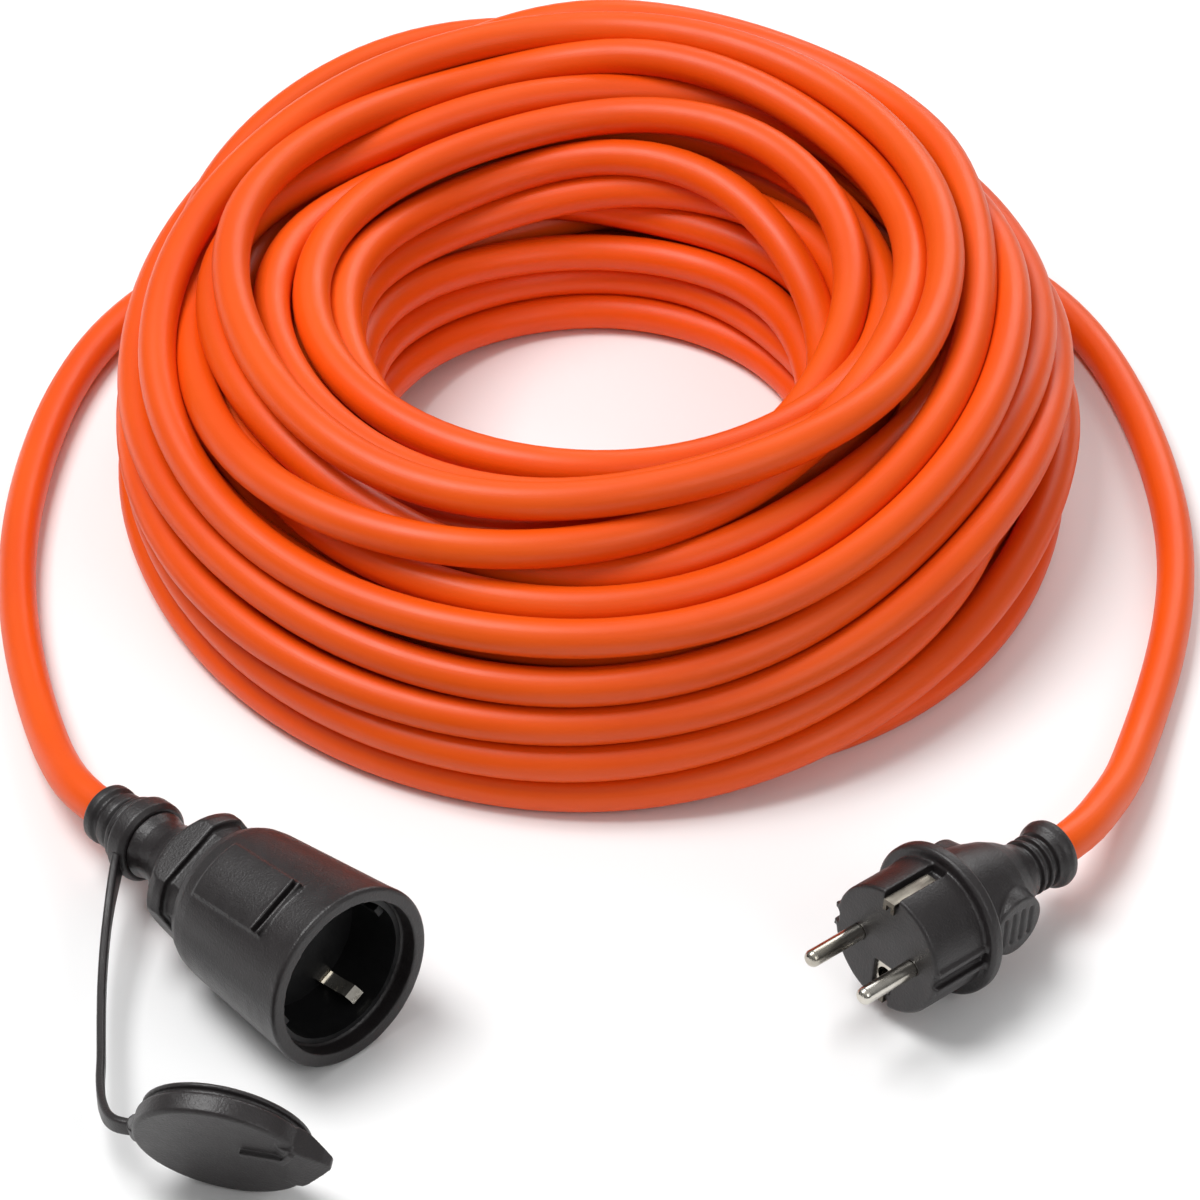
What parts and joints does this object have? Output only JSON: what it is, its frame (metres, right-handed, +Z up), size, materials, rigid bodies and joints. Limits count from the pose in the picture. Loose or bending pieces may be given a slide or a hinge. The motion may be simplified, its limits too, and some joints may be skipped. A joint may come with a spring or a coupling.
{
  "type": "extension cord",
  "caption": "Thick round cable lying in a loose coil, with an earthed plug on one end and an earthed coupler with a strapped sealing cap on the other.",
  "frame": {"origin": "on the floor, under the middle of the box round the coupler and its sealing cap", "axes": "+X out of the coupler's mouth, -Y out along the plug's pins, +Z up; the coil lies towards -X and +Y"},
  "size_m": [0.3979, 0.45, 0.082],
  "materials": {
    "orange_sheath": "smooth satin",
    "black_rubber": "fine-grained satin",
    "black_plastic": "matt",
    "grey_plastic": "matt",
    "nickel": "bright plated",
    "brass": "plain",
    "brown_core": "satin",
    "blue_core": "satin",
    "green_core": "satin"
  },
  "bodies": {
    "cord": {"cable_coil": "orange_sheath", "cable_lead_coupler": "orange_sheath", "cable_lead_plug": "orange_sheath", "plug_shell": "black_rubber", "plug_carrier": "grey_plastic", "plug_pin_live": "nickel", "plug_pin_neutral": "nickel", "plug_earth_bracket": "nickel", "plug_earth_tube": "nickel", "plug_crimp_live": "brass", "plug_crimp_neutral": "brass", "plug_crimp_earth": "brass", "plug_core_live": "brown_core", "plug_core_neutral": "blue_core", "plug_core_earth": "green_core", "coupler_shell": "black_rubber", "coupler_insert": "black_plastic", "coupler_sleeve_live": "brass", "coupler_sleeve_neutral": "brass", "coupler_earth_bridge": "nickel", "coupler_crimp_live": "brass", "coupler_crimp_neutral": "brass", "coupler_crimp_earth": "brass", "coupler_core_live": "brown_core", "coupler_core_neutral": "blue_core", "coupler_core_earth": "green_core"},
    "cap_strap": {"cap_ring": "black_rubber", "cap_strap": "black_rubber"},
    "cap_lid": {"cap_lid": "black_rubber"},
    "earth_clip_upper": {"coupler_earth_clip_upper": "nickel"},
    "earth_clip_lower": {"coupler_earth_clip_lower": "nickel"}
  },
  "joints": [
    {"name": "cap_ring_turn", "type": "hinge", "parent": "cord", "child": "cap_strap", "pos_m": [-0.05546, 0.025, 0.01837], "axis": [0.9959, 0, 0.0901], "range_deg": [-170, 0]},
    {"name": "cap_lid_flex", "type": "hinge", "parent": "cap_strap", "child": "cap_lid", "pos_m": [0.02743, -0.04498, 0.01906], "axis": [0.1913, -0.2835, 0.9397], "range_deg": [-35, 35], "stiffness_Nm_per_rad": 0.02},
    {"name": "earth_clip_upper_flex", "type": "hinge", "parent": "cord", "child": "earth_clip_upper", "pos_m": [0.0062, 0.01731, 0.04051], "axis": [0.0381, -0.9063, -0.4209], "range_deg": [0, 4], "stiffness_Nm_per_rad": 0.6},
    {"name": "earth_clip_lower_flex", "type": "hinge", "parent": "cord", "child": "earth_clip_lower", "pos_m": [0.00917, 0.03269, 0.00766], "axis": [-0.0381, 0.9063, 0.4209], "range_deg": [0, 4], "stiffness_Nm_per_rad": 0.6}
  ]
}
